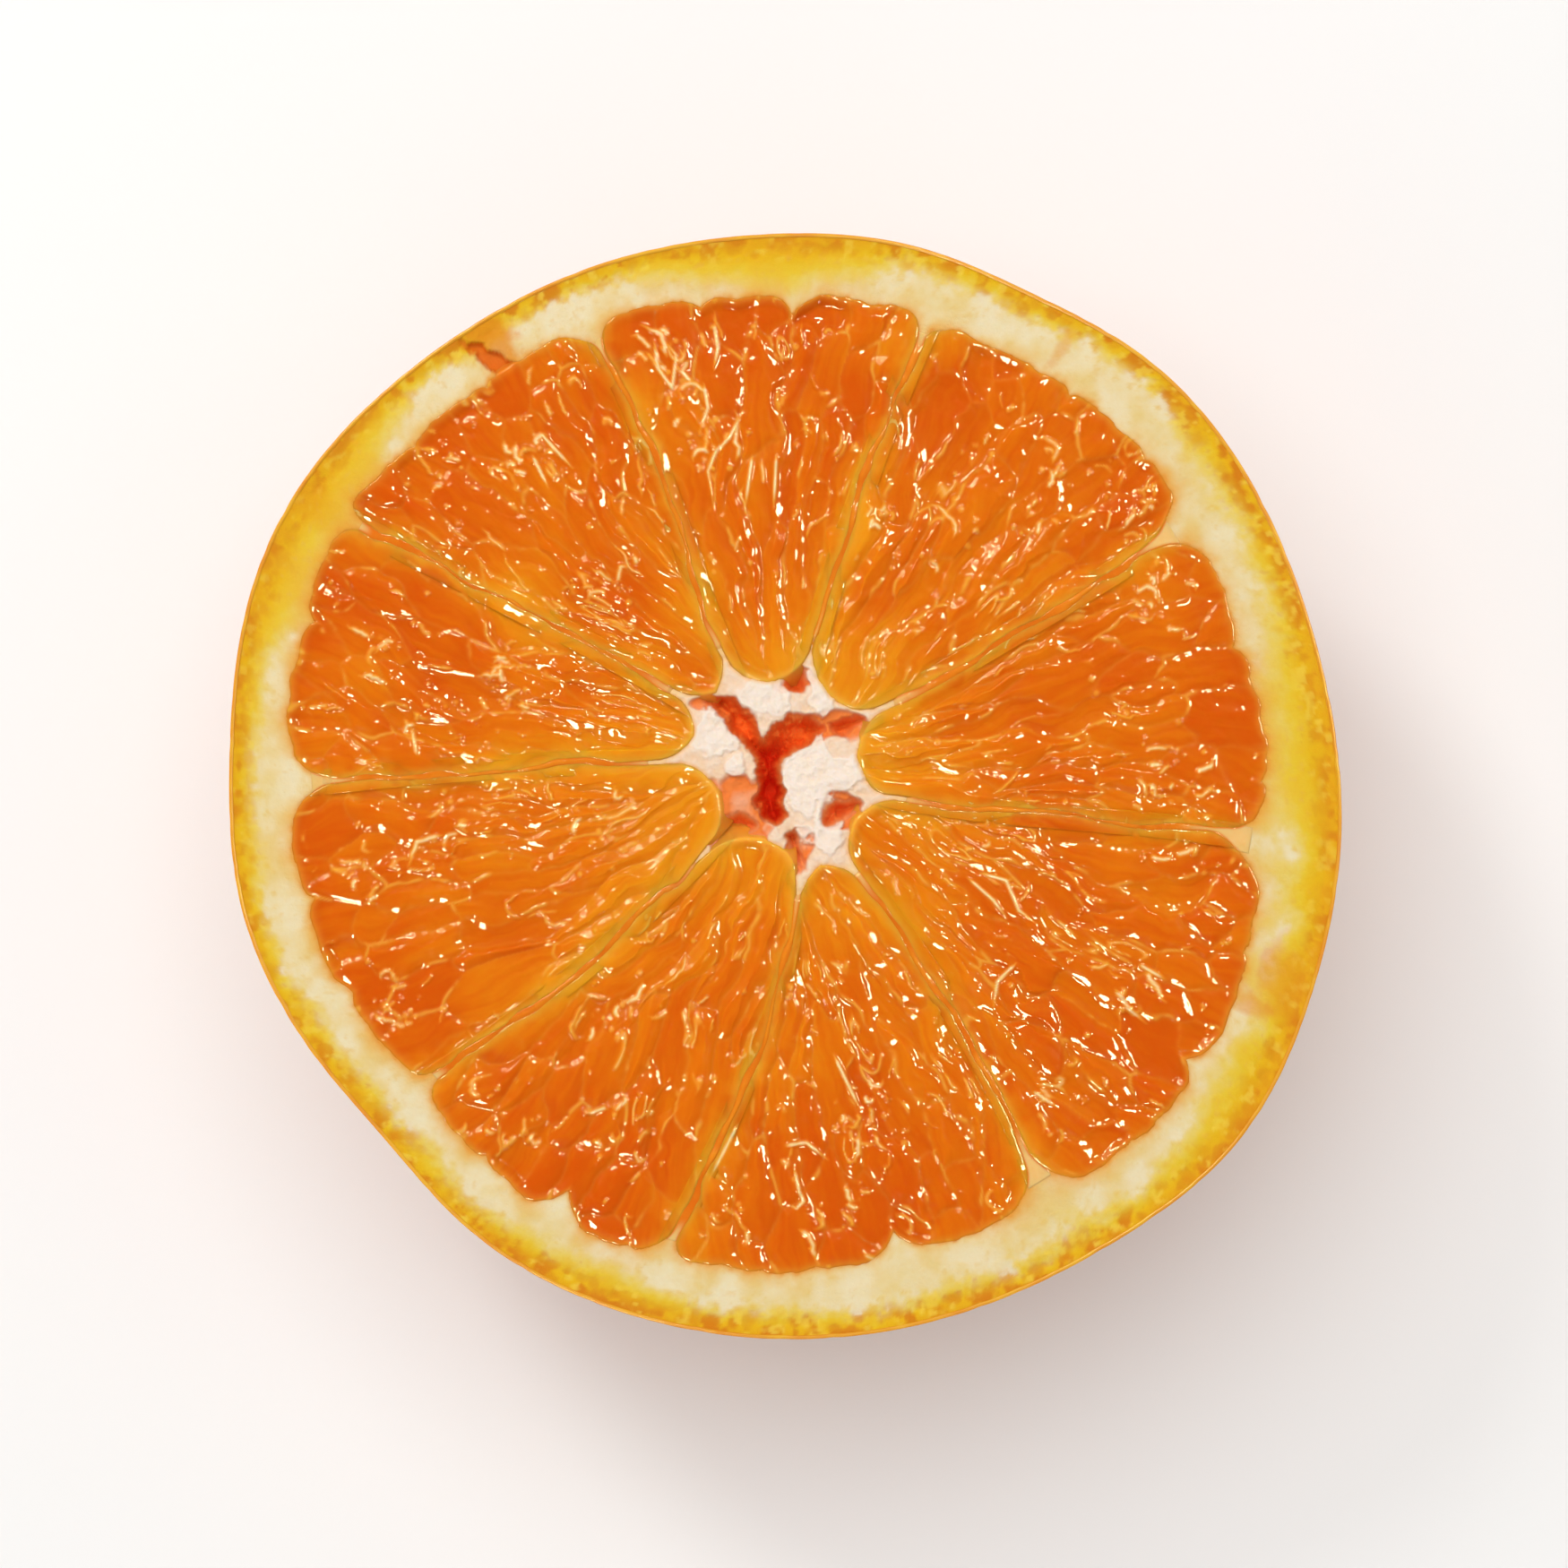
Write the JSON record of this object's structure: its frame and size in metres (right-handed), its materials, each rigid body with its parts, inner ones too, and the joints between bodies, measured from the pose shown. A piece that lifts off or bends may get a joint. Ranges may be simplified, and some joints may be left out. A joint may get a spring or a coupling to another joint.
{
  "type": "orange half",
  "caption": "Half of a round orange cut across the equator, with rind, pith, pulp segments and a split core.",
  "frame": {"origin": "centre of the object's plan box, on the surface that it rests on", "axes": "+Z from the stem end up through the cut face; +Y is the top of the cut face as it is seen from above, with +X to its right"},
  "size_m": [0.078, 0.0776, 0.037],
  "materials": {
    "peel": "waxy orange peel with fine oil-gland dimples",
    "pith": "moist cream-white spongy pith",
    "pulp": "wet translucent juice sacs",
    "membrane": "thin wet yellow-orange membrane",
    "calyx": "dry grey-green stem button"
  },
  "bodies": {
    "root": {"orange_half": "peel"}
  },
  "joints": []
}
